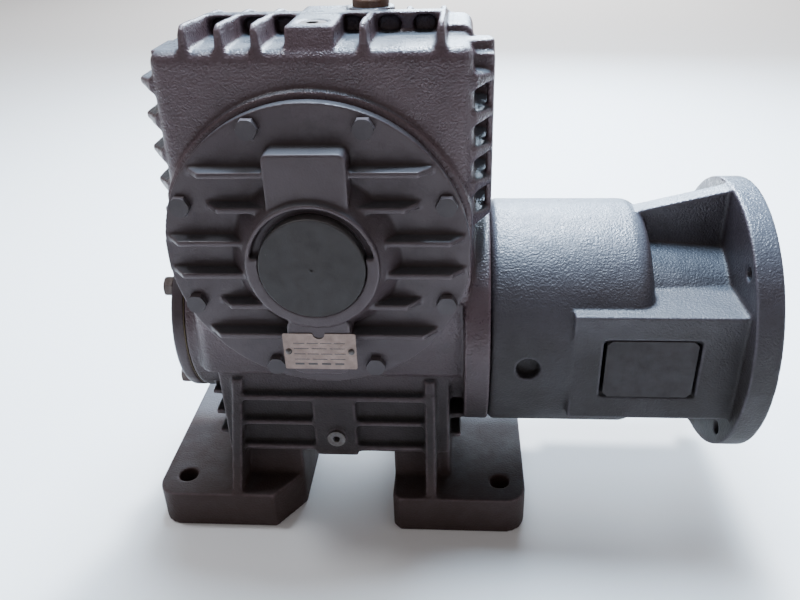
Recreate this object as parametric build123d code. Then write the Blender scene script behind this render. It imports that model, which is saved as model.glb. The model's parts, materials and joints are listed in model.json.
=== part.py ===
from build123d import *
import os
from math import atan, cos, degrees, pi, radians, sin, sqrt, tan

# Foot-mounted worm gearbox with a motor adapter.
# +X runs along the worm from the closed end to the motor, +Y along the output shaft away
# from the closed cover, +Z up. The origin is at the middle of the foot bolts, on the floor.

# ---- driving dimensions, millimetres ---------------------------------------------------
CENTRE_DISTANCE = 125.0                       # worm axis to wheel axis
WORM_Z = 225.0                                # height of the worm axis
WHEEL_Z = WORM_Z + CENTRE_DISTANCE            # height of the output axis

MODULE = 5.0
WHEEL_TEETH = 40
WORM_STARTS = 1
WORM_PITCH_R = 25.0
WHEEL_PITCH_R = MODULE * WHEEL_TEETH / 2
PRESSURE_ANGLE = 20.0
BACKLASH = 0.7                                # at the pitch circle, shared by both gears
WHEEL_WIDTH = 50.0
THREAD_LENGTH = 100.0
ROOT_DEPTH = 1.2 * MODULE

HOUSING_X = 3.0                               # middle of the upper case
HOUSING_HALF_X = 149.0                        # upper case at its foot
HOUSING_HALF_Y = 104.0
HOUSING_TOP = 536.0
CASE_BOTTOM = 90.0                            # underside between the two feet
CASE_SPLIT = 200.0                            # where the upper case starts
WALL_DRAFT = 0.8                              # degrees
SUMP_HALF_X = 126.0
SUMP_HALF_Y = 98.0
COVER_BOSS_FACE = -106.0
COVER_BOSS_R = 152.5
BARREL_R = 145.5
FRONT_BORE_R = 121.0

FOOT_INNER_X = {-1: 46.0, 1: 62.0}            # distance from the middle, by side
FOOT_OUTER_X = 213.0
FOOT_CORNER = {-1: (29.0, 42.0), 1: (8.0, 8.0)}    # inner corner cut, along X and Y
FOOT_HALF_Y = 128.0
FOOT_HEIGHT = 48.0
FOOT_HOLE_X = 184.0
FOOT_HOLE_Y = 95.0
FOOT_HOLE_R = 11.0
GUSSET_TOP_X = {-1: 104.0, 1: 105.0}
GUSSET_FOOT_X = {-1: 118.0, 1: 106.0}
WEB_HALF_X = 106.0
GUSSET_THICKNESS = 12.0

TOP_FIN_X = (-107.0, -75.0, -43.0, 52.0, 119.0)
SHORT_FIN_X = 86.0                            # only from the cross wall back
WALL_BAY_X = (-91.0, -59.0, -30.0, 33.0, 69.0, 102.5)
SIDE_FIN_Z = [505.0 - 32.6 * i for i in range(5)]
TOP_FIN_THICKNESS = 5.0                       # at the tip
TOP_FIN_FOOT = 10.0                           # thickness at the roof
FIN_THICKNESS = 7.0
FIN_FOOT = 13.0
FIN_TOP = 553.0
FIN_REACH = {-1: 162.0, 1: 167.0}             # side fins, from the output axis
BAR_Y = -20.0                                 # bar that ties the fins together
BAR_THICKNESS = 9.0
CROSS_WALL_THICKNESS = 15.0
POCKET_DEPTH = 11.0

COVER_R = 146.5
COVER_BACK = -107.0
COVER_FACE = -119.6
COVER_BOLT_PCR = 134.3
HUB_R = 63.0
HUB_FACE = -149.2
HUB_BORE_R = 55.0
HUB_MOUTH_R = 59.0                            # recess over the upper half of the cap
CAP_R = 50.2
CAP_FACE = -151.5
CAP_SEAT = -139.0                             # shoulder that the cap's flange meets from behind
RIB_FACE = -136.0
RIB_PITCH = 33.5
RIB_FIRST = 88.5                              # top of the highest rib above the output axis
RIB_THICKNESS = 6.0
PAD_X = -1.0                                  # raised pad above the hub
PAD_HEIGHT = 22.0
PLATE_X = 0.0
PLATE_Z = WHEEL_Z - 91.5
PLATE_SIZE = (72.0, 41.0)
RIVET_X = 31.0
PLATE_PAD = 27.0                              # height of the pad under the nameplate

TUNNEL_R = 103.0                              # worm tunnel on the motor side
END_BOSS_X = -157.0                           # closed end of the worm tunnel
END_COVER_R = 92.0
END_COVER_FACE = -171.5
END_BOLT_PCR = 80.0

ADAPTER_SEAT_X = 168.0
ADAPTER_R = 125.8
ADAPTER_BODY_END = 332.0
ADAPTER_WALL = 14.0
ADAPTER_BOLT_PCR = 98.0
NECK_R_START = 93.0
NECK_R_END = 85.0
FLANGE_BACK = 415.8
FLANGE_FACE = 442.8
FLANGE_R = 150.0                              # IEC 132 B5 flange, 300 mm
FLANGE_PCR = 132.5
FLANGE_HOLE_R = 7.0
PILOT_R = 115.0
PILOT_DEPTH = 6.0
BOX_START = 249.0
BOX_HALF_Z = 61.0
BOX_FACE = -124.0
WINDOW_X = (281.0, 374.0)
WINDOW_HALF_Z = 33.5

OUTPUT_JOURNAL_R = 30.0
WHEEL_SEAT_R = 35.0
OUTPUT_SHAFT_R = 27.5
OUTPUT_SHOULDER = 125.0
OUTPUT_END = 235.0
OUTPUT_BEARING_R = 55.0
OUTPUT_BEARING_WIDTH = 22.0
FRONT_BEARING_Y = -112.0                      # middle of the bearing
REAR_BEARING_Y = 92.0
REAR_FACE = 112.0
REAR_COVER_R = 88.0

WORM_JOURNAL_R = 17.5
WORM_BEARING_R = 40.0
LEFT_BEARING_X = -132.0
LEFT_BEARING_WIDTH = 21.0
RIGHT_BEARING_X = 135.0
RIGHT_BEARING_WIDTH = 35.0
INPUT_SHAFT_R = 15.0
COUPLING_START = 293.0
COUPLING_HUB_LENGTH = 45.0
COUPLING_JAW = 18.0
COUPLING_R = 40.0
COUPLING_EYE_R = 21.0                         # clear eye inside the jaws
MOTOR_BORE_R = 19.0

EYE_X = 48.0
EYE_Y = 16.0
FILLER_X = 4.0
FILLER_Y = -64.0
DRAIN_X = 1.5
DRAIN_Z = 121.0
LEVEL_Z = 255.0

RUNNING = 0.05                                # radial running clearance
M12_HEAD_R = 10.4                             # across corners / 2
M12_HEAD_H = 7.5

PARTS = {}


# ---- helpers ---------------------------------------------------------------------------
def block(low, high):
    """Box between two opposite corners."""
    size = [b - a for a, b in zip(low, high)]
    middle = [(a + b) / 2 for a, b in zip(low, high)]
    return Pos(*middle) * Box(*size)


def rod_x(r, x0, x1, y=0.0, z=WORM_Z):
    return Pos((x0 + x1) / 2, y, z) * Rot(Y=90) * Cylinder(r, abs(x1 - x0))


def rod_y(r, y0, y1, x=0.0, z=WHEEL_Z):
    return Pos(x, (y0 + y1) / 2, z) * Rot(X=-90) * Cylinder(r, abs(y1 - y0))


def rod_z(r, z0, z1, x=0.0, y=0.0):
    return Pos(x, y, (z0 + z1) / 2) * Cylinder(r, abs(z1 - z0))


def cone_x(r0, r1, x0, x1):
    """Frustum on the worm axis, from radius r0 at x0 to r1 at x1."""
    return Pos((x0 + x1) / 2, 0, WORM_Z) * Rot(Y=90) * Cone(r0, r1, x1 - x0)


def cone_y(r0, r1, y0, y1):
    """Frustum on the output axis, from radius r0 at y0 to r1 at y1."""
    return Pos(0, (y0 + y1) / 2, WHEEL_Z) * Rot(X=-90) * Cone(r0, r1, y1 - y0)


def hexagon_rod(r, height):
    """Hexagonal prism standing on z = 0, r to its corners."""
    return extrude(RegularPolygon(r, 6), height)


def plate_yz(points, x0, x1):
    """Polygon of (y, z) points, extruded from x0 to x1."""
    outline = Polyline(*[(x0, y, z) for y, z in points], close=True)
    return extrude(Face(Wire(outline.edges())), x1 - x0, dir=(1, 0, 0))


def plate_xz(points, y0, y1):
    """Polygon of (x, z) points, extruded from y0 to y1."""
    outline = Polyline(*[(x, y0, z) for x, z in points], close=True)
    return extrude(Face(Wire(outline.edges())), y1 - y0, dir=(0, 1, 0))


def plate_xy(points, z0, z1):
    """Polygon of (x, y) points, extruded from z0 to z1."""
    outline = Polyline(*[(x, y, z0) for x, y in points], close=True)
    return extrude(Face(Wire(outline.edges())), z1 - z0, dir=(0, 0, 1))


def hex_bolt(length, head_r=M12_HEAD_R, head_h=M12_HEAD_H, shank_r=6.0):
    """Hexagon bolt along +Z: the head's underside is at z = 0 and the shank goes to -length."""
    head = hexagon_rod(head_r, head_h) & Cone(head_r * 1.15, head_r * 0.9, head_h, align=(
        Align.CENTER, Align.CENTER, Align.MIN))
    return head + Pos(0, 0, -length / 2) * Cylinder(shank_r, length)


def socket_screw(length, shank_r):
    """Socket head screw along +Z, with its head above z = 0."""
    head_r = 1.5 * shank_r
    head_h = 2.0 * shank_r
    head = Pos(0, 0, head_h / 2) * Cylinder(head_r, head_h)
    socket = Pos(0, 0, head_h / 2) * hexagon_rod(shank_r, head_h / 2)
    return head - socket + Pos(0, 0, -length / 2) * Cylinder(shank_r, length)


def around_y(shape, count, radius, first, y):
    """Copies of a shape that points along +Z, turned to point along -Y at y, on a circle."""
    copies = []
    for i in range(count):
        a = radians(first + 360.0 / count * i)
        place = Pos(radius * cos(a), y, WHEEL_Z + radius * sin(a))
        copies.append(place * Rot(X=90) * shape)
    return copies


def around_x(shape, count, radius, first, x, turn):
    """Copies of a shape that points along +Z, turned about Y by turn, on a circle at x."""
    copies = []
    for i in range(count):
        a = radians(first + 360.0 / count * i)
        place = Pos(x, radius * cos(a), WORM_Z + radius * sin(a))
        copies.append(place * Rot(Y=turn) * shape)
    return copies


def group(shapes):
    """Separate solids in one node."""
    return Compound(children=[s.solid() if hasattr(s, "solid") else s for s in shapes])


# ---- housing ---------------------------------------------------------------------------
def upper_case():
    base = Pos(HOUSING_X, 0, CASE_SPLIT) * RectangleRounded(2 * HOUSING_HALF_X, 2 * HOUSING_HALF_Y, 20)
    case = extrude(base, HOUSING_TOP - CASE_SPLIT, taper=WALL_DRAFT)
    return fillet(case.edges().group_by(Axis.Z)[-1], 11)


def foot(side):
    inner = side * FOOT_INNER_X[side]
    outer = side * FOOT_OUTER_X
    cut_x, cut_y = FOOT_CORNER[side]
    edge, corner = inner + side * cut_x, FOOT_HALF_Y - cut_y
    outline = [(outer, -FOOT_HALF_Y), (edge, -FOOT_HALF_Y), (inner, -corner),
               (inner, corner), (edge, FOOT_HALF_Y), (outer, FOOT_HALF_Y)]
    pad = plate_xy(outline, 0, FOOT_HEIGHT)
    uprights = pad.edges().filter_by(Axis.Z)
    pad = fillet([e for e in uprights if abs(e.center().X - outer) < 1], 24)
    for y in (-FOOT_HOLE_Y, FOOT_HOLE_Y):
        pad -= rod_z(FOOT_HOLE_R, -1, FOOT_HEIGHT + 1, side * FOOT_HOLE_X, y)
    return pad


def leg(side):
    low_x, high_x = sorted((side * FOOT_INNER_X[side], side * SUMP_HALF_X))
    return block((low_x, -SUMP_HALF_Y + 12, 1), (high_x, SUMP_HALF_Y - 12, CASE_SPLIT))


def gusset(side, facing):
    """Upright rib from the case down to the edge of a foot, facing -1 for the front."""
    top, foot_top = CASE_SPLIT - 8, FOOT_HEIGHT - 4
    points = [(facing * 60, top), (facing * 104, top), (facing * (FOOT_HALF_Y - 2), foot_top),
              (facing * 60, foot_top)]
    half = GUSSET_THICKNESS / 2
    x_top, x_foot = side * GUSSET_TOP_X[side], side * GUSSET_FOOT_X[side]
    lean = plate_xz([(x_top - half, top), (x_top + half, top), (x_foot + half, foot_top),
                     (x_foot - half, foot_top)], -FOOT_HALF_Y, FOOT_HALF_Y)
    return plate_yz(points, -150, 150) & lean


def web_ribs(facing):
    """Level ribs and the middle column of the cross web between the gussets."""
    y0, y1 = sorted((facing * (SUMP_HALF_Y - 6), facing * (SUMP_HALF_Y + 10)))
    ribs = [block((-WEB_HALF_X, y0, z - 3), (WEB_HALF_X, y1, z + 3)) for z in (103.0, 137.0)]
    ledge = block((-WEB_HALF_X, y0, 167), (WEB_HALF_X, y1, 174))
    column = block((-24, y0, CASE_BOTTOM + 2), (24, y1, 170))
    return ribs + [ledge, column]


def top_fin(x, front=-98.0):
    """Fin on the roof, thicker at its foot, highest at the front."""
    points = [(max(front, y), z) for y, z in (
        (-98, HOUSING_TOP - 8), (-95, FIN_TOP), (-90, FIN_TOP + 5), (BAR_Y, FIN_TOP + 2), (22, FIN_TOP),
        (60, HOUSING_TOP + 8), (92, HOUSING_TOP + 4), (98, HOUSING_TOP - 8))]
    half, foot_half = TOP_FIN_THICKNESS / 2, TOP_FIN_FOOT / 2
    section = [(x - foot_half, HOUSING_TOP - 8), (x + foot_half, HOUSING_TOP - 8),
               (x + half, FIN_TOP + 6), (x - half, FIN_TOP + 6)]
    return plate_yz(points, x - TOP_FIN_FOOT, x + TOP_FIN_FOOT) & plate_xz(section, -100, 100)


def side_fin(side, z):
    """Level fin on a side wall, thicker at its foot."""
    wall_x = HOUSING_X + side * HOUSING_HALF_X
    root, wall, tip = wall_x - side * 12, wall_x - side * 2, side * FIN_REACH[side]
    outline = [(root, -92), (wall, -92), (tip, -66), (tip, 66), (wall, 92), (root, 92)]
    half, foot_half = FIN_THICKNESS / 2, FIN_FOOT / 2
    section = [(root, z - foot_half - 3), (root, z + foot_half + 3), (wall, z + foot_half),
               (tip, z + half), (tip, z - half), (wall, z - foot_half)]
    return plate_xy(outline, z - FIN_FOOT, z + FIN_FOOT) & plate_xz(section, -95, 95)


def cross_wall():
    """Wall across the roof fins, with a rounded pocket in the front of it in each bay."""
    front = BAR_Y - BAR_THICKNESS / 2
    wall = block((TOP_FIN_X[0], front, HOUSING_TOP - 8),
                 (TOP_FIN_X[-1], front + CROSS_WALL_THICKNESS, FIN_TOP + 2))
    for x in WALL_BAY_X:
        pocket = Pos(x, HOUSING_TOP + 7.5) * RectangleRounded(22, 16, 7)
        wall -= extrude(Plane.XZ.offset(1 - front) * pocket, -POCKET_DEPTH - 1)
    return wall


def side_bars(side):
    """Upright bars across the side fins, and the block that ends them at the top.

    On the motor side there are two, and the rear one reaches the wall and closes the bays.
    """
    top = SIDE_FIN_Z[0] + 20
    wall = HOUSING_X + side * (HOUSING_HALF_X - 12)
    tip = side * FIN_REACH[side]
    inner = tip - side * 7
    rows = ((BAR_Y, wall), (-62, inner)) if side > 0 else ((BAR_Y, inner),)
    bars = []
    for y, start in rows:
        low, high = sorted((start, tip))
        bars.append(block((low, y - BAR_THICKNESS / 2, SIDE_FIN_Z[-1]), (high, y + BAR_THICKNESS / 2, top)))
    front, bottom = (-66, SIDE_FIN_Z[0]) if side > 0 else (BAR_Y - 12, top - 7)
    low, high = sorted((wall, tip))
    return bars + [block((low, front, bottom), (high, 20, top))]


def housing_outside():
    body = upper_case()
    body += rod_y(BARREL_R, -HOUSING_HALF_Y, HOUSING_HALF_Y)
    boss = rod_y(COVER_BOSS_R, COVER_BOSS_FACE, -90)
    body += boss & block((-142, -120, 290), (148, 0, HOUSING_TOP - 4))
    body += rod_y(BARREL_R, COVER_BOSS_FACE, -90)
    body += block((-SUMP_HALF_X, -SUMP_HALF_Y, CASE_BOTTOM), (SUMP_HALF_X, SUMP_HALF_Y, CASE_SPLIT + 30))
    body += rod_x(END_COVER_R, END_BOSS_X, -60)
    body += rod_x(TUNNEL_R, 60, 150) + rod_x(ADAPTER_R, 142, ADAPTER_SEAT_X)
    body += rod_y(REAR_COVER_R, 60, REAR_FACE - 2)
    for side in (-1, 1):
        body += foot(side) + leg(side) + gusset(side, -1) + gusset(side, 1)
        for z in (108.0, 136.0, 164.0):
            low, high = sorted((side * 100, side * (SUMP_HALF_X + 13)))
            body += block((low, -88, z - 3), (high, 88, z + 3))
        for z in SIDE_FIN_Z:
            body += side_fin(side, z)
        for bar in side_bars(side):
            body += bar
    for rib in web_ribs(-1) + web_ribs(1):
        body += rib
    for x in TOP_FIN_X:
        body += top_fin(x)
    body += top_fin(SHORT_FIN_X, BAR_Y) + cross_wall()
    body += plate_yz([(-97, HOUSING_TOP - 8), (-86, FIN_TOP + 1), (30, FIN_TOP + 1), (30, HOUSING_TOP - 8)],
                     -18, 26)
    body += rod_z(24, HOUSING_TOP - 8, FIN_TOP + 2, EYE_X, EYE_Y)
    body += rod_y(12.5, -SUMP_HALF_Y - 13, -SUMP_HALF_Y, DRAIN_X, DRAIN_Z)
    body += rod_y(16, SUMP_HALF_Y, HOUSING_HALF_Y + 5, -95, LEVEL_Z)
    body += rod_z(10, 500, HOUSING_TOP - 1, 157, -48) + block((140, -58, 500), (157, -38, HOUSING_TOP - 1))
    pad = block((118, -30, HOUSING_TOP - 20), (148, 40, HOUSING_TOP + 8))
    body += fillet(pad.edges().filter_by(Axis.Y).group_by(Axis.Z)[-1], 12)
    return body


def housing():
    body = housing_outside()
    inner = block((-128, -86, CASE_SPLIT + 4), (132, 86, HOUSING_TOP - 16))
    inner += block((-SUMP_HALF_X + 14, -SUMP_HALF_Y + 14, CASE_BOTTOM + 15),
                   (SUMP_HALF_X - 14, SUMP_HALF_Y - 14, CASE_SPLIT + 10))
    inner -= rod_x(54, -150, -112)
    inner -= rod_x(56, 108, 150)
    inner -= rod_y(70, 76, 100)
    body -= inner
    body -= rod_y(FRONT_BORE_R, -110, -80)
    body -= rod_x(WORM_BEARING_R, END_BOSS_X - 1, -100)
    body -= rod_x(WORM_BEARING_R, 100, ADAPTER_SEAT_X + 1)
    body -= rod_y(OUTPUT_BEARING_R, 70, REAR_FACE)
    for hole in around_y(Cylinder(6.0, 60), 8, COVER_BOLT_PCR, 22.5, -110):
        body -= hole
    for hole in around_y(Cylinder(5.0, 44), 6, 74, 0, REAR_FACE - 2):
        body -= hole
    for hole in around_x(Cylinder(6.0, 50), 4, END_BOLT_PCR, 45, END_BOSS_X, 90):
        body -= hole
    for hole in around_x(Cylinder(6.0, 50), 8, ADAPTER_BOLT_PCR, 22.5, ADAPTER_SEAT_X, 90):
        body -= hole
    for hole in around_x(Cylinder(3.0, 30), 4, 52, 45, ADAPTER_SEAT_X, 90):
        body -= hole
    body -= rod_z(8, FIN_TOP - 26, FIN_TOP + 3, EYE_X, EYE_Y)
    body -= rod_z(12.7, FIN_TOP - 3, FIN_TOP + 3, FILLER_X, FILLER_Y)
    body -= rod_z(10, HOUSING_TOP - 20, FIN_TOP + 3, FILLER_X, FILLER_Y)
    body -= rod_y(7, -SUMP_HALF_Y - 14, -SUMP_HALF_Y + 20, DRAIN_X, DRAIN_Z)
    body -= rod_y(10, 70, HOUSING_HALF_Y + 6, -95, LEVEL_Z)
    return body


# ---- front cover -----------------------------------------------------------------------
def cover_rib(top, side, inner, outer):
    """Level cooling rib on the cover, cut back at its outer end."""
    z1 = WHEEL_Z + top
    z0 = z1 - RIB_THICKNESS
    points = [(side * inner, COVER_FACE + 2), (side * inner, RIB_FACE),
              (side * (outer - 14), RIB_FACE), (side * outer, COVER_FACE), (side * outer, COVER_FACE + 2)]
    return plate_xy(points, z0, z1)


def front_cover():
    cover = rod_y(COVER_R, COVER_FACE, COVER_BACK)
    cover += cone_y(HUB_R + 1, 82, HUB_FACE + 6, COVER_FACE + 1)
    cover += rod_y(HUB_R, HUB_FACE, COVER_FACE)
    for i in range(6):
        top = RIB_FIRST - RIB_PITCH * i
        near_bolt = i in (1, 4)
        rim = sqrt((COVER_R - 3) ** 2 - max(abs(top), abs(top - RIB_THICKNESS)) ** 2)
        outer = 100.0 if near_bolt else rim
        for side in (-1, 1):
            cover += cover_rib(top, side, 30.0, outer)
    upper = Pos(PAD_X, WHEEL_Z + 62) * RectangleRounded(77, 92, 8)
    cover += extrude(Plane.XZ.offset(-COVER_FACE) * upper, PAD_HEIGHT, taper=3)
    lower = RectangleRounded(PLATE_SIZE[0] - 10, 66, 14)
    cover += extrude(Plane.XZ.offset(-COVER_FACE) * (Pos(PLATE_X, WHEEL_Z - 86) * lower), PLATE_PAD)
    cover += rod_y(FRONT_BORE_R - 0.02, COVER_BACK, -92)
    cover -= rod_y(104, -106, -90)
    cover += rod_y(70, -110, -96)
    cover -= rod_y(HUB_BORE_R, CAP_SEAT, -95) + rod_y(CAP_R + 0.6, HUB_FACE - 1, CAP_SEAT + 1)
    mouth = rod_y(HUB_MOUTH_R, HUB_FACE - 1, CAP_SEAT - 1)
    cover -= mouth & block((-70, HUB_FACE - 1, WHEEL_Z + 10), (70, CAP_SEAT, WHEEL_Z + 70))
    cover -= rod_y(40, HUB_FACE - 1, -90)
    for hole in around_y(Cylinder(6.5, 40), 8, COVER_BOLT_PCR, 22.5, COVER_FACE):
        cover -= hole
    for dx in (-RIVET_X, RIVET_X):
        cover -= rod_y(1.6, COVER_FACE - PLATE_PAD - 1, COVER_FACE - 15, PLATE_X + dx, PLATE_Z)
    return cover


def closing_cap():
    """Pressed steel cap: a raised disc on a thin flange that seats in the hub bore."""
    cap = rod_y(CAP_R, CAP_FACE, -136) + rod_y(HUB_BORE_R, CAP_SEAT, -130)
    cap = fillet(cap.edges().filter_by(GeomType.CIRCLE).group_by(Axis.Y)[0], 1.5)
    cap -= rod_y(CAP_R - 4, CAP_FACE + 3, -130)
    return cap - rod_y(1.5, CAP_FACE - 1, CAP_FACE + 1)


def nameplate():
    sheet = Pos(PLATE_X, PLATE_Z) * RectangleRounded(*PLATE_SIZE, 2)
    sheet -= Pos(PLATE_X, PLATE_Z + PLATE_SIZE[1] / 2) * Circle(6)
    for dx in (-RIVET_X, RIVET_X):
        sheet -= Pos(PLATE_X + dx, PLATE_Z) * Circle(1.6)
    return extrude(Plane.XZ.offset(PLATE_PAD - COVER_FACE) * sheet, 1.0)


def nameplate_rivets():
    rivets = []
    front = COVER_FACE - PLATE_PAD - 1
    for dx in (-RIVET_X, RIVET_X):
        x = PLATE_X + dx
        dome = Pos(x, front, PLATE_Z) * Sphere(3.2)
        dome &= block((x - 5, front - 5, PLATE_Z - 5), (x + 5, front, PLATE_Z + 5))
        rivets.append(dome + rod_y(1.6, front, front + 8, x, PLATE_Z))
    return group(rivets)


# ---- gears -----------------------------------------------------------------------------
def involute_angle(radius, base):
    """Polar angle of an involute of a base circle, at a radius."""
    t = sqrt(max((radius / base) ** 2 - 1, 0))
    return t - atan(t)


def tooth_half_angle(radius):
    """Half of a wheel tooth's angle at a radius, in radians."""
    base = WHEEL_PITCH_R * cos(radians(PRESSURE_ANGLE))
    at_pitch = (pi * MODULE / 2 - BACKLASH / 2) / 2 / WHEEL_PITCH_R
    return at_pitch + involute_angle(WHEEL_PITCH_R, base) - involute_angle(radius, base)


def on_circle(r, angle):
    return (r * cos(angle), r * sin(angle))


def wheel_profile():
    """Closed outline of the toothed wheel, with one tooth at the bottom."""
    root = WHEEL_PITCH_R - ROOT_DEPTH
    tip = WHEEL_PITCH_R + MODULE
    steps = 6
    edges = []
    first = last = None
    for i in range(WHEEL_TEETH):
        middle = -pi / 2 + 2 * pi * i / WHEEL_TEETH
        radii = [root + (tip - root) * k / steps for k in range(steps + 1)]
        rising = [on_circle(r, middle - tooth_half_angle(r)) for r in radii]
        falling = [on_circle(r, middle + tooth_half_angle(r)) for r in reversed(radii)]
        if last:
            edges.append(Line(last, rising[0]))
        edges += [Spline(*rising), Line(rising[-1], falling[0]), Spline(*falling)]
        first = first or rising[0]
        last = falling[-1]
    edges.append(Line(last, first))
    return Face(Wire(Curve() + edges))


def wheel_rim():
    """Bronze rim with helical teeth that match the worm's lead angle."""
    lead_angle = atan(MODULE * WORM_STARTS / 2 / WORM_PITCH_R)
    twist = degrees(WHEEL_WIDTH * tan(lead_angle) / WHEEL_PITCH_R)
    profile = wheel_profile().outer_wire()
    teeth = Solid.extrude_linear_with_rotation(profile, (0, 0, 0), (0, 0, WHEEL_WIDTH), twist)
    centred = Rot(Z=-twist / 2) * Pos(0, 0, -WHEEL_WIDTH / 2) * teeth
    upright = Pos(0, 0, WHEEL_Z) * Rot(X=90) * Rot(Y=180) * Rot(Z=180) * centred
    return upright - rod_y(78, -WHEEL_WIDTH, WHEEL_WIDTH)


def wheel_hub():
    hub = rod_y(78, -WHEEL_WIDTH / 2, WHEEL_WIDTH / 2)
    hub -= rod_y(66, -26, -9) + rod_y(66, 9, 26)
    hub += rod_y(50, -30, 30)
    hub -= rod_y(WHEEL_SEAT_R, -31, 31)
    for i in range(6):
        a = radians(60 * i + 30)
        hub -= rod_y(6, -20, 20, 58 * cos(a), WHEEL_Z + 58 * sin(a))
    return hub - block((-10, -31, WHEEL_Z + 20), (10, 31, WHEEL_Z + WHEEL_SEAT_R + 4.4))


def wheel_key():
    return block((-10, -28, WHEEL_Z + WHEEL_SEAT_R - 7.5), (10, 28, WHEEL_Z + WHEEL_SEAT_R + 4.4))


def output_shaft():
    """Solid shaft with an open keyway along its driven end."""
    shaft = rod_y(OUTPUT_JOURNAL_R, -124, OUTPUT_SHOULDER) + rod_y(WHEEL_SEAT_R, -30, 70)
    shaft += rod_y(42, 31, 66) + rod_y(OUTPUT_SHAFT_R, OUTPUT_SHOULDER, OUTPUT_END)
    shaft = chamfer(shaft.edges().filter_by(GeomType.CIRCLE).group_by(Axis.Y)[-1], 2)
    key_bed = WHEEL_Z + WHEEL_SEAT_R - 7.5
    shaft -= block((-10, -28, key_bed), (10, 28, key_bed + 20))
    bed = WHEEL_Z + OUTPUT_SHAFT_R - 6
    shaft -= block((-8, OUTPUT_SHOULDER, bed), (8, OUTPUT_END + 1, bed + 20))
    shaft -= rod_y(8.5, OUTPUT_END - 36, OUTPUT_END + 1)
    groove = rod_y(OUTPUT_JOURNAL_R + 1, 105, 107.5) - rod_y(OUTPUT_JOURNAL_R - 1.5, 105, 107.5)
    return shaft - groove


def worm_section():
    """Section of the worm at right angles to its axis: one thread, as a polar curve."""
    lead = pi * MODULE * WORM_STARTS
    tip = WORM_PITCH_R + MODULE
    root = WORM_PITCH_R - ROOT_DEPTH
    slope = tan(radians(PRESSURE_ANGLE))
    half_tip = lead / 4 - BACKLASH / 4 - MODULE * slope
    half_root = half_tip + (tip - root) * slope
    steps = 8

    def point(r, s):
        return (r * cos(2 * pi * s / lead), r * sin(2 * pi * s / lead))

    flank = [(tip - (tip - root) * k / steps, half_tip + (half_root - half_tip) * k / steps)
             for k in range(steps + 1)]
    upper = [point(r, s) for r, s in flank]
    lower = [point(r, -s) for r, s in flank]
    edges = [ThreePointArc(lower[0], (tip, 0), upper[0]), Spline(*upper),
             ThreePointArc(upper[-1], (-root, 0), lower[-1]), Spline(*reversed(lower))]
    return Face(Wire(Curve() + edges))


def worm_thread():
    """Single-start right-hand thread, with a gap under the wheel's lowest tooth."""
    lead = pi * MODULE * WORM_STARTS
    turns = THREAD_LENGTH / lead
    solid = Solid.extrude_linear_with_rotation(worm_section().outer_wire(), (0, 0, 0),
                                               (0, 0, THREAD_LENGTH), 360 * turns)
    start_phase = 180 - 360 * turns / 2
    return Pos(-THREAD_LENGTH / 2, 0, WORM_Z) * Rot(Y=90) * Rot(Z=180 + start_phase) * solid


def worm_shaft():
    left = LEFT_BEARING_X - LEFT_BEARING_WIDTH / 2
    right = RIGHT_BEARING_X + RIGHT_BEARING_WIDTH / 2
    shaft = rod_x(WORM_JOURNAL_R, left - 4, right + 12)
    shaft += rod_x(INPUT_SHAFT_R, right, COUPLING_START + COUPLING_HUB_LENGTH)
    shaft += rod_x(22.5, LEFT_BEARING_X + LEFT_BEARING_WIDTH / 2, -62)
    shaft += rod_x(22.5, 62, RIGHT_BEARING_X - RIGHT_BEARING_WIDTH / 2)
    shaft += rod_x(WORM_PITCH_R - ROOT_DEPTH, -63, -49) + rod_x(WORM_PITCH_R - ROOT_DEPTH, 49, 63)
    shaft += worm_thread()
    keyway = block((COUPLING_START + 5, -4, WORM_Z + 11), (COUPLING_START + 40, 4, WORM_Z + 20))
    return shaft - keyway


# ---- bearings --------------------------------------------------------------------------
def bearing(bore_r, outer_r, width, rows, balls):
    """Ball bearing on the Z axis: inner ring, outer ring, and the balls with their cage."""
    middle = (bore_r + outer_r) / 2
    ball_r = 0.3 * (outer_r - bore_r)
    offsets = [width * (k + 0.5) / rows - width / 2 for k in range(rows)]
    inner = Cylinder(middle - 0.45 * ball_r, width) - Cylinder(bore_r, width)
    outer = Cylinder(outer_r, width) - Cylinder(middle + 0.45 * ball_r, width)
    rolling = []
    for z in offsets:
        race = Pos(0, 0, z) * Torus(middle, ball_r + 0.08)
        inner -= race
        outer -= race
        ring = Pos(0, 0, z) * (Cylinder(middle + 0.3 * ball_r, 0.9 * ball_r)
                               - Cylinder(middle - 0.3 * ball_r, 0.9 * ball_r))
        for i in range(balls):
            place = Rot(Z=360.0 / balls * i) * Pos(middle, 0, z)
            rolling.append(place * Sphere(ball_r))
            ring -= place * Sphere(ball_r + 0.05)
        rolling += list(ring.solids())
    return inner, outer, rolling


def place_bearing(name, place, bore_r, outer_r, width, rows, balls):
    inner, outer, rolling = bearing(bore_r, outer_r, width, rows, balls)
    PARTS[name + "_inner_ring"] = place * inner
    PARTS[name + "_outer_ring"] = place * outer
    PARTS[name + "_balls_and_cage"] = group([place * piece for piece in rolling])


# ---- covers, seals and small parts -----------------------------------------------------
def rear_cover():
    cover = rod_y(REAR_COVER_R, REAR_FACE - 1, REAR_FACE + 11)
    cover += rod_y(OUTPUT_BEARING_R - 0.02, REAR_BEARING_Y + OUTPUT_BEARING_WIDTH / 2, REAR_FACE)
    cover -= rod_y(40, 100, REAR_FACE + 12)
    for hole in around_y(Cylinder(5.5, 40), 6, 74, 0, REAR_FACE):
        cover -= hole
    return cover


def drilled(shape, holes):
    for hole in holes:
        shape -= hole
    return shape


def ring_y(outer, inner, y0, y1):
    return rod_y(outer, y0, y1) - rod_y(inner, y0 - 1, y1 + 1)


def ring_x(outer, inner, x0, x1):
    return rod_x(outer, x0, x1) - rod_x(inner, x0 - 1, x1 + 1)


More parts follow.
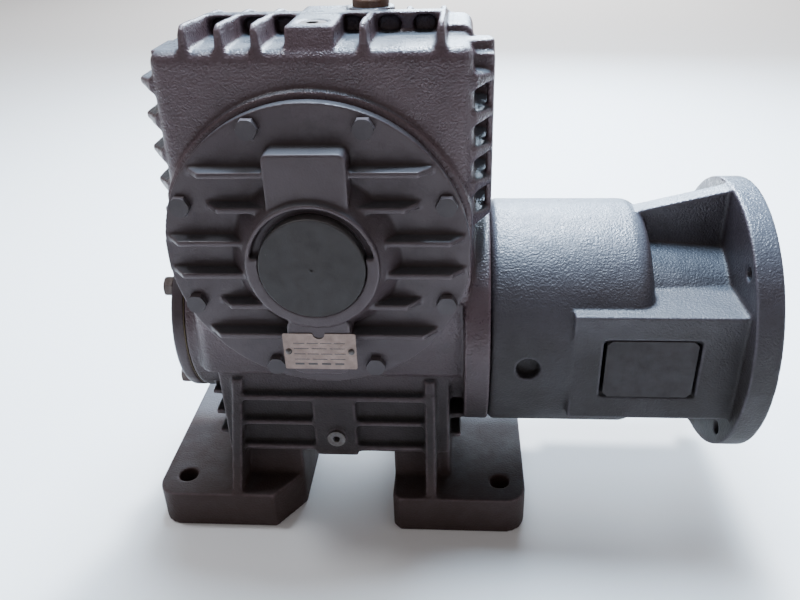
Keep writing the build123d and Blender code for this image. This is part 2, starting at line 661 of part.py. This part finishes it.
def end_cover():
    cover = rod_x(END_COVER_R, END_COVER_FACE, END_BOSS_X - 1)
    cover = fillet(cover.edges().filter_by(GeomType.CIRCLE).group_by(Axis.X)[0], 3)
    cover += rod_x(WORM_BEARING_R - 0.02, END_BOSS_X - 1, LEFT_BEARING_X - LEFT_BEARING_WIDTH / 2)
    cover -= rod_x(30, END_BOSS_X - 4, -130)
    for hole in around_x(Cylinder(6.5, 60), 4, END_BOLT_PCR, 45, END_COVER_FACE, 90):
        cover -= hole
    return cover


def input_seal_carrier():
    carrier = rod_x(60, ADAPTER_SEAT_X, ADAPTER_SEAT_X + 9)
    bearing_face = RIGHT_BEARING_X + RIGHT_BEARING_WIDTH / 2
    carrier += rod_x(WORM_BEARING_R - 0.02, bearing_face, ADAPTER_SEAT_X)
    carrier -= rod_x(30, bearing_face - 1, ADAPTER_SEAT_X - 1)
    carrier -= rod_x(26, ADAPTER_SEAT_X - 2, ADAPTER_SEAT_X + 10)
    for hole in around_x(Cylinder(3.3, 40), 4, 52, 45, ADAPTER_SEAT_X, 90):
        carrier -= hole
    return carrier


def eyebolt():
    """Lifting eye bolt for an M16 thread: collar, ring and shank."""
    seat = FIN_TOP + 2
    collar = rod_z(18, seat, seat + 8, EYE_X, EYE_Y)
    collar = fillet(collar.edges().filter_by(GeomType.CIRCLE).group_by(Axis.Z)[-1], 3)
    ring = Pos(EYE_X, EYE_Y, seat + 8 + 27) * Rot(X=90) * Torus(24.5, 7)
    neck = Pos(EYE_X, EYE_Y, seat + 8) * Cone(12, 8, 8)
    return collar + ring + neck + rod_z(8, seat - 24, seat, EYE_X, EYE_Y)


def socket_plug(collar_r, shank_r, depth):
    """Screw plug along +Z with a hexagon socket; its collar sits on z = 0."""
    plug = Pos(0, 0, 1.5) * Cylinder(collar_r, 3) + Pos(0, 0, -depth / 2) * Cylinder(shank_r, depth)
    return plug - Pos(0, 0, -5) * hexagon_rod(0.62 * shank_r, 10)


# ---- motor adapter ---------------------------------------------------------------------
def adapter_outside():
    body = rod_x(ADAPTER_R, ADAPTER_SEAT_X, ADAPTER_BODY_END)
    rims = body.edges().filter_by(GeomType.CIRCLE).sort_by(Axis.X)
    body = fillet([rims[-1]], 20)
    rims = body.edges().filter_by(GeomType.CIRCLE).sort_by(Axis.X)
    body = fillet([rims[0]], 8)
    body += cone_x(NECK_R_START, NECK_R_END, ADAPTER_BODY_END - 40, FLANGE_BACK + 1)
    body += rod_x(FLANGE_R, FLANGE_BACK, FLANGE_FACE)
    for facing in (-1, 1):
        low, high = sorted((0, facing * -BOX_FACE))
        bottom, top = WORM_Z - BOX_HALF_Z, WORM_Z + BOX_HALF_Z
        body += block((BOX_START, low, bottom), (FLANGE_BACK + 1, high, top))
        near, far = sorted((facing * -BOX_FACE, facing * 140))
        body -= block((BOX_START, near, bottom), (FLANGE_BACK - 0.01, far, top))
    for up in (-1, 1):
        points = [(300, WORM_Z + up * 60), (300, WORM_Z + up * 118), (316, WORM_Z + up * 123),
                  (FLANGE_BACK + 1, WORM_Z + up * 148), (FLANGE_BACK + 1, WORM_Z + up * 60)]
        body += plate_xz(points, -11, 11)
    return body


def motor_adapter():
    body = adapter_outside()
    inner_r = ADAPTER_R - ADAPTER_WALL
    body -= rod_x(inner_r, ADAPTER_SEAT_X + 16, ADAPTER_BODY_END - 16)
    body -= rod_x(NECK_R_END - 13, ADAPTER_BODY_END - 20, FLANGE_FACE + 1)
    body -= rod_x(61, ADAPTER_SEAT_X - 1, ADAPTER_SEAT_X + 20)
    body -= rod_x(PILOT_R, FLANGE_FACE - PILOT_DEPTH, FLANGE_FACE + 1)
    for hole in around_x(Cylinder(FLANGE_HOLE_R, 80), 4, FLANGE_PCR, 45, FLANGE_FACE, 90):
        body -= hole
    for hole in around_x(Cylinder(6.5, 40), 8, ADAPTER_BOLT_PCR, 22.5, ADAPTER_SEAT_X, 90):
        body -= hole
    x0, x1 = WINDOW_X
    half = WINDOW_HALF_Z
    body -= block((x0 - 1.5, BOX_FACE + 5, WORM_Z - half + 4), (x1 + 1.5, -20, WORM_Z + half - 4))
    body -= block((x0 - 1.5, BOX_FACE - 1, WORM_Z - half), (x1 + 1.5, BOX_FACE + 5, WORM_Z + half))
    body -= rod_y(12, -130, -ADAPTER_R + 12, 206, WORM_Z)
    return body


def window_plate():
    """Snap-in cover of the coupling window, with a slot left open at each end."""
    x0, x1 = WINDOW_X
    half = WINDOW_HALF_Z - 0.3
    outline = [(x0 + 2, WORM_Z - half + 5), (x0 + 7, WORM_Z - half), (x1 - 7, WORM_Z - half),
               (x1 - 2, WORM_Z - half + 5), (x1 - 2, WORM_Z + half - 5), (x1 - 7, WORM_Z + half),
               (x0 + 7, WORM_Z + half), (x0 + 2, WORM_Z + half - 5)]
    return plate_xz(outline, BOX_FACE + 0.5, BOX_FACE + 5)


def coupling_hub(start, facing, bore_r):
    """Jaw coupling half: facing +1 has its jaws towards +X."""
    hub = rod_x(COUPLING_R, start, start + COUPLING_HUB_LENGTH)
    face = start + COUPLING_HUB_LENGTH if facing > 0 else start
    for i in range(3):
        turn = 120 * i + (0 if facing > 0 else 60)
        spread = 60 * tan(radians(19.5))
        sector = Rot(X=turn) * plate_yz([(0, 0), (60, -spread), (60, spread)], 0, COUPLING_JAW - 1)
        sector = Pos(face if facing > 0 else face - COUPLING_JAW + 1, 0, WORM_Z) * sector
        hub += sector & ring_x(COUPLING_R, COUPLING_EYE_R, face - 30, face + 30)
    return hub - rod_x(bore_r, start - 1, start + COUPLING_HUB_LENGTH + 1)


def coupling_spider():
    start = COUPLING_START + COUPLING_HUB_LENGTH
    spider = ring_x(COUPLING_EYE_R - 0.5, 12, start, start + COUPLING_JAW)
    for i in range(6):
        arm = Rot(X=60 * i + 30) * plate_yz([(14, -6), (COUPLING_R - 1, -6), (COUPLING_R - 1, 6), (14, 6)],
                                             0, COUPLING_JAW)
        spider += Pos(start, 0, WORM_Z) * arm
    for facing, hub_start in ((1, COUPLING_START), (-1, start + COUPLING_JAW)):
        spider -= coupling_hub(hub_start, facing, 10)
    return spider


# ---- assembly --------------------------------------------------------------------------
PARTS["housing"] = housing()
PARTS["front_cover"] = front_cover()
PARTS["front_cover_gasket"] = drilled(
    ring_y(COVER_R - 1, FRONT_BORE_R + 1, COVER_BACK, COVER_BOSS_FACE),
    around_y(Cylinder(6.5, 40), 8, COVER_BOLT_PCR, 22.5, COVER_FACE))
PARTS["front_cover_bolts"] = group(around_y(hex_bolt(30), 8, COVER_BOLT_PCR, 22.5, COVER_FACE))
PARTS["closing_cap"] = closing_cap()
PARTS["nameplate"] = nameplate()
PARTS["nameplate_rivets"] = nameplate_rivets()

PARTS["worm_wheel_rim"] = wheel_rim()
PARTS["worm_wheel_hub"] = wheel_hub()
PARTS["wheel_key"] = wheel_key()
PARTS["output_shaft"] = output_shaft()
PARTS["front_spacer"] = ring_y(42, OUTPUT_JOURNAL_R, FRONT_BEARING_Y + OUTPUT_BEARING_WIDTH / 2, -30)
PARTS["rear_spacer"] = ring_y(40, OUTPUT_JOURNAL_R, 70, REAR_BEARING_Y - OUTPUT_BEARING_WIDTH / 2)
PARTS["shaft_circlip"] = ring_y(OUTPUT_JOURNAL_R + 4, OUTPUT_JOURNAL_R - 1.5, 105, 107.5)
PARTS["rear_cover"] = rear_cover()
PARTS["rear_cover_gasket"] = drilled(
    ring_y(REAR_COVER_R - 1, OUTPUT_BEARING_R + 1, REAR_FACE - 2, REAR_FACE - 1),
    around_y(Cylinder(5.5, 40), 6, 74, 0, REAR_FACE))
PARTS["rear_cover_bolts"] = group(
    [Rot(Z=180) * bolt for bolt in around_y(hex_bolt(26, 9.2, 6.4, 5.0), 6, 74, 0, -REAR_FACE - 11)])
PARTS["output_seal"] = ring_y(40, OUTPUT_JOURNAL_R + RUNNING, REAR_FACE, REAR_FACE + 10)

PARTS["worm_shaft"] = worm_shaft()
PARTS["worm_locknut"] = ring_x(26, WORM_JOURNAL_R, 152.5, 161.5)
PARTS["worm_end_cover"] = end_cover()
PARTS["worm_end_shim"] = drilled(
    ring_x(END_COVER_R - 1, WORM_BEARING_R + 1, END_BOSS_X - 1, END_BOSS_X),
    around_x(Cylinder(6.5, 40), 4, END_BOLT_PCR, 45, END_BOSS_X, 90))
PARTS["worm_end_cover_bolts"] = group(
    around_x(hex_bolt(34, 11.5, 9.5), 4, END_BOLT_PCR, 45, END_COVER_FACE, -90))
PARTS["input_seal_carrier"] = input_seal_carrier()
PARTS["input_seal"] = ring_x(26, INPUT_SHAFT_R + RUNNING, ADAPTER_SEAT_X, ADAPTER_SEAT_X + 8)
PARTS["input_carrier_screws"] = group(
    around_x(socket_screw(20, 3.0), 4, 52, 45, ADAPTER_SEAT_X + 9, 90))

PARTS["motor_adapter"] = motor_adapter()
PARTS["adapter_bolts"] = group(
    around_x(socket_screw(36, 6.0), 8, ADAPTER_BOLT_PCR, 22.5, ADAPTER_SEAT_X + 16, 90))
PARTS["window_plate"] = window_plate()
PARTS["coupling_hub_gear_side"] = coupling_hub(COUPLING_START, 1, INPUT_SHAFT_R)
PARTS["coupling_hub_motor_side"] = coupling_hub(
    COUPLING_START + COUPLING_HUB_LENGTH + COUPLING_JAW, -1, MOTOR_BORE_R)
PARTS["coupling_spider"] = coupling_spider()

PARTS["eyebolt"] = eyebolt()
PARTS["filler_plug"] = Pos(FILLER_X, FILLER_Y, FIN_TOP - 3) * socket_plug(12.5, 10, 18)
PARTS["drain_plug"] = Pos(DRAIN_X, -SUMP_HALF_Y - 13, DRAIN_Z) * Rot(X=90) * socket_plug(10, 7, 18)
PARTS["level_plug"] = Pos(-95, HOUSING_HALF_Y + 5, LEVEL_Z) * Rot(X=-90) * socket_plug(14, 10, 18)

place_bearing("front_output_bearing", Pos(0, FRONT_BEARING_Y, WHEEL_Z) * Rot(X=-90),
              OUTPUT_JOURNAL_R, OUTPUT_BEARING_R, OUTPUT_BEARING_WIDTH, 1, 10)
place_bearing("rear_output_bearing", Pos(0, REAR_BEARING_Y, WHEEL_Z) * Rot(X=-90),
              OUTPUT_JOURNAL_R, OUTPUT_BEARING_R, OUTPUT_BEARING_WIDTH, 1, 10)
place_bearing("left_worm_bearing", Pos(LEFT_BEARING_X, 0, WORM_Z) * Rot(Y=90),
              WORM_JOURNAL_R, WORM_BEARING_R, LEFT_BEARING_WIDTH, 1, 8)
place_bearing("right_worm_bearing", Pos(RIGHT_BEARING_X, 0, WORM_Z) * Rot(Y=90),
              WORM_JOURNAL_R, WORM_BEARING_R, RIGHT_BEARING_WIDTH, 2, 8)

os.makedirs("parts", exist_ok=True)
for node, shape in PARTS.items():
    export_step(shape, f"parts/{node}.step")
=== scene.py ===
import json
import math

import bmesh
import bpy
from mathutils import Matrix, Vector


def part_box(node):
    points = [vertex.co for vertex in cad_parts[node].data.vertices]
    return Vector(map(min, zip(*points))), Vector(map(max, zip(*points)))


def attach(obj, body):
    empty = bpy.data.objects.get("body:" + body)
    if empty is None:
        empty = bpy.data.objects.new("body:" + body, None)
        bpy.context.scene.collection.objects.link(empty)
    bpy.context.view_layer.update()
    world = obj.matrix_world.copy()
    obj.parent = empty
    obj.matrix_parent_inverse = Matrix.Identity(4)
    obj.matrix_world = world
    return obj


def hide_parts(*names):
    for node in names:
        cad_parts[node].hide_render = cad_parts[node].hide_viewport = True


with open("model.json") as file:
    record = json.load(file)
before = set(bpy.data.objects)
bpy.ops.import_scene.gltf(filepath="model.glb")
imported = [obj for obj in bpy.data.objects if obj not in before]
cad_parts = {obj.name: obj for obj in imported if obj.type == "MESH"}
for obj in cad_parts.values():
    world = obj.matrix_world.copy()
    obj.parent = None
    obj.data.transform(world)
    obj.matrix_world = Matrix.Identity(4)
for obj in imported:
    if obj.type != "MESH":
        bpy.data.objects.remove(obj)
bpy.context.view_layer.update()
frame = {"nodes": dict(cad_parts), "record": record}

SLOT_OF = {row["node"]: row["material_slot"] for row in frame["record"]["subparts"]}

# Castings whose sharp CAD edges are softened: node -> (voxel size in metres, smoothing rounds)
CASTINGS = {
    "housing": (0.0019, 9),
    "front_cover": (0.0013, 5),
    "motor_adapter": (0.0017, 6),
    "worm_end_cover": (0.0016, 4),
    "rear_cover": (0.0016, 4),
}


# ---- camera ----------------------------------------------------------------------------
PITCH = 29.2                    # degrees below the horizon
YAW = -4.3                      # towards -X
ROLL = 1.7
FOCAL_WIDTHS = 766.7 / 800      # focal length over picture width
CAMERA_AT = Vector((0.1355, -0.7733, 0.6680))


def make_camera():
    yaw, pitch, roll = (math.radians(a) for a in (YAW, PITCH, ROLL))
    ahead = Vector((math.sin(yaw) * math.cos(pitch), math.cos(yaw) * math.cos(pitch), -math.sin(pitch)))
    level = Vector((math.cos(yaw), -math.sin(yaw), 0))
    below = ahead.cross(level)
    right = level * math.cos(roll) + below * math.sin(roll)
    down = below * math.cos(roll) - level * math.sin(roll)
    camera = bpy.data.objects.new("camera", bpy.data.cameras.new("camera"))
    camera.data.sensor_width = 36
    camera.data.lens = 36 * FOCAL_WIDTHS
    camera.data.shift_x = -0.0105
    bpy.context.scene.collection.objects.link(camera)
    turn = Matrix((right, -down, -ahead)).transposed().to_4x4()
    turn.translation = CAMERA_AT
    camera.matrix_world = turn
    bpy.context.scene.camera = camera


# ---- lights and floor ------------------------------------------------------------------
FLOOR_SIZE = 14


def area_light(name, place, target, size, power, colour):
    light = bpy.data.lights.new(name, "AREA")
    light.shape = "DISK"
    light.size = size
    light.energy = power
    light.color = colour
    lamp = bpy.data.objects.new(name, light)
    lamp.location = place
    lamp.rotation_mode = "QUATERNION"
    lamp.rotation_quaternion = (Vector(target) - Vector(place)).to_track_quat("-Z", "Y")
    bpy.context.scene.collection.objects.link(lamp)


def make_lights():
    world = bpy.data.worlds.new("world")
    bpy.context.scene.world = world
    world.use_nodes = True
    sky = world.node_tree.nodes["Background"]
    sky.inputs["Color"].default_value = (1.0, 0.95, 0.95, 1)
    sky.inputs["Strength"].default_value = 0.36
    middle = (0.08, 0, 0.3)
    cool = (0.62, 0.80, 1.0)
    area_light("far", (0.3, 4.6, 2.6), (0.3, 4.2, 0), 2.6, 190, (1.0, 0.98, 0.97))
    area_light("back", (0.35, 1.9, 1.3), middle, 1.4, 100, cool)
    area_light("glint", (0.31, 1.15, 2.05), middle, 0.24, 100, (0.86, 0.93, 1.0))
    area_light("top", (0.20, 0.40, 2.1), middle, 0.7, 95, cool)
    area_light("key", (-0.75, 0.05, 1.9), middle, 0.3, 14, (0.88, 0.93, 1.0))
    area_light("side", (1.6, 0.9, 0.9), middle, 0.6, 4, cool)


def make_floor():
    bpy.ops.mesh.primitive_plane_add(size=FLOOR_SIZE)
    floor = bpy.context.object
    floor.name = "floor"
    material, tree = new_material("floor")
    shader = tree.nodes["Principled BSDF"]
    shader.inputs["Base Color"].default_value = (0.95, 0.95, 0.95, 1)
    shader.inputs["Roughness"].default_value = 0.9
    floor.data.materials.append(material)


# ---- material parts --------------------------------------------------------------------
def new_material(name):
    material = bpy.data.materials.new(name)
    material.use_nodes = True
    return material, material.node_tree


def node(tree, kind, **values):
    made = tree.nodes.new(kind)
    for key, value in values.items():
        setattr(made, key, value)
    return made


def noise(tree, scale, detail, roughness=0.55):
    """Noise in the object's own coordinates; scale is features per metre."""
    where = node(tree, "ShaderNodeTexCoord")
    made = node(tree, "ShaderNodeTexNoise")
    made.inputs["Scale"].default_value = scale
    made.inputs["Detail"].default_value = detail
    made.inputs["Roughness"].default_value = roughness
    tree.links.new(where.outputs["Object"], made.inputs["Vector"])
    return made.outputs["Fac"]


def ramp(tree, source, stops):
    """Colour or grey ramp: stops are (position, colour or grey)."""
    made = node(tree, "ShaderNodeValToRGB")
    made.color_ramp.elements[0].position = stops[0][0]
    made.color_ramp.elements[-1].position = stops[-1][0]
    for position, _ in stops[1:-1]:
        made.color_ramp.elements.new(position)
    for element, (_, colour) in zip(made.color_ramp.elements, stops):
        rgb = (colour,) * 3 if isinstance(colour, (int, float)) else colour
        element.color = (*rgb, 1)
    tree.links.new(source, made.inputs["Fac"])
    return made.outputs["Color"]


def mix(tree, factor, a, b):
    """Colour mix from a to b; each of the three is a socket or a value."""
    made = node(tree, "ShaderNodeMix", data_type="RGBA")
    for socket, value in ((made.inputs[0], factor), (made.inputs[6], a), (made.inputs[7], b)):
        if isinstance(value, bpy.types.NodeSocket):
            tree.links.new(value, socket)
        elif socket == made.inputs[0]:
            socket.default_value = value
        else:
            socket.default_value = (*value, 1)
    return made.outputs[2]


def bump(tree, layers):
    """Chain of bumps: layers are (height socket, depth in metres)."""
    normal = None
    for height, depth in layers:
        made = node(tree, "ShaderNodeBump")
        made.inputs["Distance"].default_value = depth
        made.inputs["Strength"].default_value = 1.0
        tree.links.new(height, made.inputs["Height"])
        if normal is not None:
            tree.links.new(normal, made.inputs["Normal"])
        normal = made.outputs["Normal"]
    tree.links.new(normal, tree.nodes["Principled BSDF"].inputs["Normal"])


def pointiness(tree, stops):
    geometry = node(tree, "ShaderNodeNewGeometry")
    return ramp(tree, geometry.outputs["Pointiness"], stops)


def axis_ramp(tree, vector, axis, stops):
    """Ramp over one axis of a vector socket."""
    split = node(tree, "ShaderNodeSeparateXYZ")
    tree.links.new(vector, split.inputs[0])
    return ramp(tree, split.outputs[axis], stops)


def height_above_floor(tree, stops):
    """Ramp over height in metres, for a mesh whose origin is on the floor."""
    return axis_ramp(tree, node(tree, "ShaderNodeTexCoord").outputs["Object"], "Z", stops)


def front_to_back(tree, stops):
    """Ramp over the object's own depth, 0 at its front and 1 at its back."""
    return axis_ramp(tree, node(tree, "ShaderNodeTexCoord").outputs["Generated"], "Y", stops)


def upward(tree, low, high):
    """White on faces that look up, black on the rest."""
    normal = node(tree, "ShaderNodeNewGeometry").outputs["Normal"]
    return axis_ramp(tree, normal, "Z", ((low, 0.0), (high, 1.0)))


def set_shader(tree, colour, roughness, metallic, specular=0.5):
    shader = tree.nodes["Principled BSDF"]
    shader.inputs["Metallic"].default_value = metallic
    shader.inputs["Specular IOR Level"].default_value = specular
    tree.links.new(colour, shader.inputs["Base Color"])
    tree.links.new(roughness, shader.inputs["Roughness"])


# ---- materials -------------------------------------------------------------------------
BLACK = (0, 0, 0)
DULL = (0.78, 0.78, 0.78)       # roughness of grime
SOIL_AND_SHADE = (0.033, 0.0175, 0.0145)  # brown dirt and painted shade on the feet
SOIL_AND_SHADE_TOP = 0.06                 # metres above the floor
# dark colour for real grime spots and for painted shade in corners and low down
GRIME_AND_SHADE = (0.0125, 0.0082, 0.0072)


def cast_paint(name, paint, faded, painted_top_light, rough, grain=1.0, low_shade_top=0.2, specular=0.5):
    """Paint over sand-cast iron: pebbled skin, grime spots, painted top light on upward faces, worn edges
    with painted edge highlights, painted shade in corners and low down, with brown soil colour on the
    feet.
    """
    material, tree = new_material(name)
    base = mix(tree, ramp(tree, noise(tree, 7, 7, 0.6), ((0.38, 0.0), (0.66, 1.0))), paint, faded)
    spots = ramp(tree, noise(tree, 30, 9, 0.75), ((0.52, 0.0), (0.74, 0.4)))
    base = mix(tree, spots, base, GRIME_AND_SHADE)
    # painted top light: faces that look up take a pale cool colour, as if lit from above
    base = mix(tree, upward(tree, 0.6, 1.0), base, painted_top_light)
    # painted shade: concave corners and creases darkened
    base = mix(tree, pointiness(tree, ((0.43, 0.85), (0.49, 0.0))), base, GRIME_AND_SHADE)
    # painted shade low down, weakened towards the back as painted light from behind; brown soil colour and
    # painted shade on the feet
    low = height_above_floor(tree, ((0.0, 1.0), (low_shade_top * 0.6, 0.9), (low_shade_top, 0.0)))
    low = mix(tree, front_to_back(tree, ((0.52, 1.0), (0.64, 0.5))), BLACK, low)
    patchy = mix(tree, ramp(tree, noise(tree, 18, 8, 0.7), ((0.35, 0.84), (0.6, 1.0))), BLACK, low)
    soil_and_shade = height_above_floor(tree, ((SOIL_AND_SHADE_TOP, SOIL_AND_SHADE), (SOIL_AND_SHADE_TOP + 0.05, GRIME_AND_SHADE)))
    base = mix(tree, patchy, base, soil_and_shade)
    # worn edges and painted edge highlights: convex edges lightened in broken patches
    edges = mix(tree, noise(tree, 90, 6), BLACK, pointiness(tree, ((0.515, 0.0), (0.56, 0.8))))
    base = mix(tree, edges, base, [min(1, c * 1.9 + 0.02) for c in faded])
    shine = ramp(tree, noise(tree, 55, 7, 0.65), ((0.3, rough - 0.12), (0.72, rough + 0.16)))
    set_shader(tree, base, mix(tree, patchy, shine, DULL), 0.15, specular)
    bump(tree, ((noise(tree, 45, 1), 0.0009 * grain), (noise(tree, 460, 1), 0.0008 * grain),
                (noise(tree, 1100, 2), 0.00010 * grain)))
    return material


def smooth_paint(name, paint, rough=0.4):
    """Paint over a machined, forged or pressed surface, with painted top light on faces that look up."""
    material, tree = new_material(name)
    shade = mix(tree, ramp(tree, noise(tree, 20, 8, 0.7), ((0.36, 0.0), (0.68, 1.0))), paint,
                [c * 0.75 for c in paint])
    chips = ramp(tree, noise(tree, 130, 8, 0.75), ((0.66, 0.0), (0.72, 0.6)))
    shade = mix(tree, chips, shade, [min(1, c * 1.6 + 0.02) for c in paint])
    # painted top light: faces that look up are lighter
    shade = mix(tree, upward(tree, 0.45, 0.95), shade, [min(1, c * 2 + 0.03) for c in paint])
    shine = ramp(tree, noise(tree, 90, 6), ((0.3, rough - 0.1), (0.7, rough + 0.16)))
    set_shader(tree, shade, shine, 0.1, 0.25)
    bump(tree, ((noise(tree, 60, 2), 0.0004), (noise(tree, 700, 3), 0.00008)))
    return material


def bare_metal(name, colour, rough, rust=None):
    """Bare metal with fine mottling, and rust patches if a rust colour is given."""
    material, tree = new_material(name)
    shade = mix(tree, ramp(tree, noise(tree, 120, 6), ((0.3, 0.0), (0.7, 1.0))), colour,
                [c * 0.75 for c in colour])
    if rust is not None:
        patches = ramp(tree, noise(tree, 70, 9, 0.7), ((0.38, 0.0), (0.6, 1.0)))
        shade = mix(tree, patches, rust, shade)
    set_shader(tree, shade, ramp(tree, noise(tree, 200, 5), ((0.3, rough - 0.08), (0.7, rough + 0.15))),
               0.9 if rust is None else 0.45)
    bump(tree, ((noise(tree, 800, 3), 0.00006 if rust is None else 0.0002),))
    return material


def soft_sheet(name, colour, rough=0.8):
    """Rubber, paper or fibre."""
    material, tree = new_material(name)
    set_shader(tree, mix(tree, noise(tree, 150, 6), colour, [c * 0.6 for c in colour]),
               ramp(tree, noise(tree, 300, 4), ((0.3, rough - 0.1), (0.7, rough + 0.1))), 0.0)
    bump(tree, ((noise(tree, 1200, 3), 0.00006),))
    return material


def make_materials():
    # the third colour of each cast paint is its painted top light
    return {
        "painted_housing": cast_paint("cast_grey_paint", (0.060, 0.037, 0.042), (0.084, 0.055, 0.060),
                                      (0.115, 0.128, 0.150), rough=0.33, low_shade_top=0.26, specular=0.4),
        "painted_cover": cast_paint("cover_grey_paint", (0.050, 0.035, 0.038), (0.064, 0.047, 0.050),
                                    (0.100, 0.098, 0.108), rough=0.40, grain=0.3, specular=0.3),
        "painted_adapter": cast_paint("adapter_silver_paint", (0.051, 0.042, 0.051), (0.070, 0.060, 0.075),
                                      (0.110, 0.132, 0.172), rough=0.23, low_shade_top=0.39),
        "painted_bolts": smooth_paint("bolt_paint", (0.058, 0.047, 0.050)),
        # darker copy of the adapter paint: painted shade on the window plate
        "painted_window": smooth_paint("window_paint", (0.030, 0.024, 0.025), 0.6),
        "painted_cap": smooth_paint("cap_paint", (0.036, 0.030, 0.029), 0.5),
        "rusty_bolts": bare_metal("brown_bolts", (0.09, 0.065, 0.055), 0.5, (0.05, 0.03, 0.025)),
        "rusty_steel": bare_metal("rusty_steel", (0.20, 0.13, 0.10), 0.6, (0.12, 0.055, 0.03)),
        "plate_aluminium": bare_metal("plate_aluminium", (0.24, 0.175, 0.15), 0.5),
        "plug_steel": bare_metal("plug_steel", (0.14, 0.13, 0.13), 0.5, (0.07, 0.05, 0.04)),
        "printed_ink": soft_sheet("printed_ink", (0.06, 0.05, 0.05), 0.6),
        "gasket_paper": soft_sheet("gasket_paper", (0.10, 0.085, 0.06)),
        "shim_brass": bare_metal("shim_brass", (0.10, 0.075, 0.045), 0.5),
        "seal_rubber": soft_sheet("seal_rubber", (0.02, 0.02, 0.02), 0.6),
        "wheel_bronze": bare_metal("wheel_bronze", (0.60, 0.38, 0.16), 0.3),
        "bare_iron": bare_metal("bare_iron", (0.16, 0.155, 0.15), 0.5),
        "ground_steel": bare_metal("ground_steel", (0.55, 0.55, 0.56), 0.25),
        "black_steel": bare_metal("black_steel", (0.04, 0.04, 0.045), 0.4),
        "bearing_steel": bare_metal("bearing_steel", (0.65, 0.65, 0.67), 0.15),
    }


# ---- pieces ----------------------------------------------------------------------------
def give_material(thing, material):
    thing.data.materials.clear()
    thing.data.materials.append(material)


def softened(name, voxel, rounds):
    """A copy of a casting with the small radii that sand casting and paint leave on every edge."""
    source = frame["nodes"][name]
    copy = bpy.data.objects.new(name + "_cast", source.data.copy())
    bpy.context.scene.collection.objects.link(copy)
    remesh = copy.modifiers.new("remesh", "REMESH")
    remesh.mode = "VOXEL"
    remesh.voxel_size = voxel * 1
    remesh.use_smooth_shade = True
    smooth = copy.modifiers.new("smooth", "SMOOTH")
    smooth.factor = 0.5
    smooth.iterations = rounds
    graph = bpy.context.evaluated_depsgraph_get()
    finished = bpy.data.meshes.new_from_object(copy.evaluated_get(graph))
    copy.modifiers.clear()
    copy.data = finished
    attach(copy, "case")
    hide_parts(name)
    return copy


MARK_ROWS = 5
MARK_DEPTH = 0.00015            # metres, half of it sunk into the plate


def name_marks():
    """Blank ruled fields on the nameplate, as thin raised strips with no lettering."""
    low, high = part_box("nameplate")
    width, height = high.x - low.x, high.z - low.z
    mesh = bmesh.new()
    for row in range(MARK_ROWS):
        dashes = 3 if row % 2 else 4
        bottom = low.z + height * (0.12 + 0.15 * row)
        thick = height * (0.05 if row == 0 else 0.018)
        length = width * (0.50 if row == 0 else 0.62) / dashes
        for i in range(dashes):
            left = low.x + width * (0.14 + 0.74 * i / dashes)
            strip = bmesh.ops.create_cube(mesh, size=1)["verts"]
            bmesh.ops.scale(mesh, vec=(length, MARK_DEPTH, thick), verts=strip)
            middle = (left + length / 2, low.y, bottom + thick / 2)
            bmesh.ops.translate(mesh, vec=middle, verts=strip)
    marks = bpy.data.objects.new("nameplate_marks", bpy.data.meshes.new("nameplate_marks"))
    mesh.to_mesh(marks.data)
    mesh.free()
    bpy.context.scene.collection.objects.link(marks)
    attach(marks, "case")
    return marks


make_camera()
make_lights()
make_floor()
materials = make_materials()
for name, thing in frame["nodes"].items():
    give_material(thing, materials[SLOT_OF[name]])
# the window plate takes the darker window paint as painted shade
give_material(frame["nodes"]["window_plate"], materials["painted_window"])
give_material(name_marks(), materials["printed_ink"])
for name, (voxel, rounds) in CASTINGS.items():
    give_material(softened(name, voxel, rounds), materials[SLOT_OF[name]])
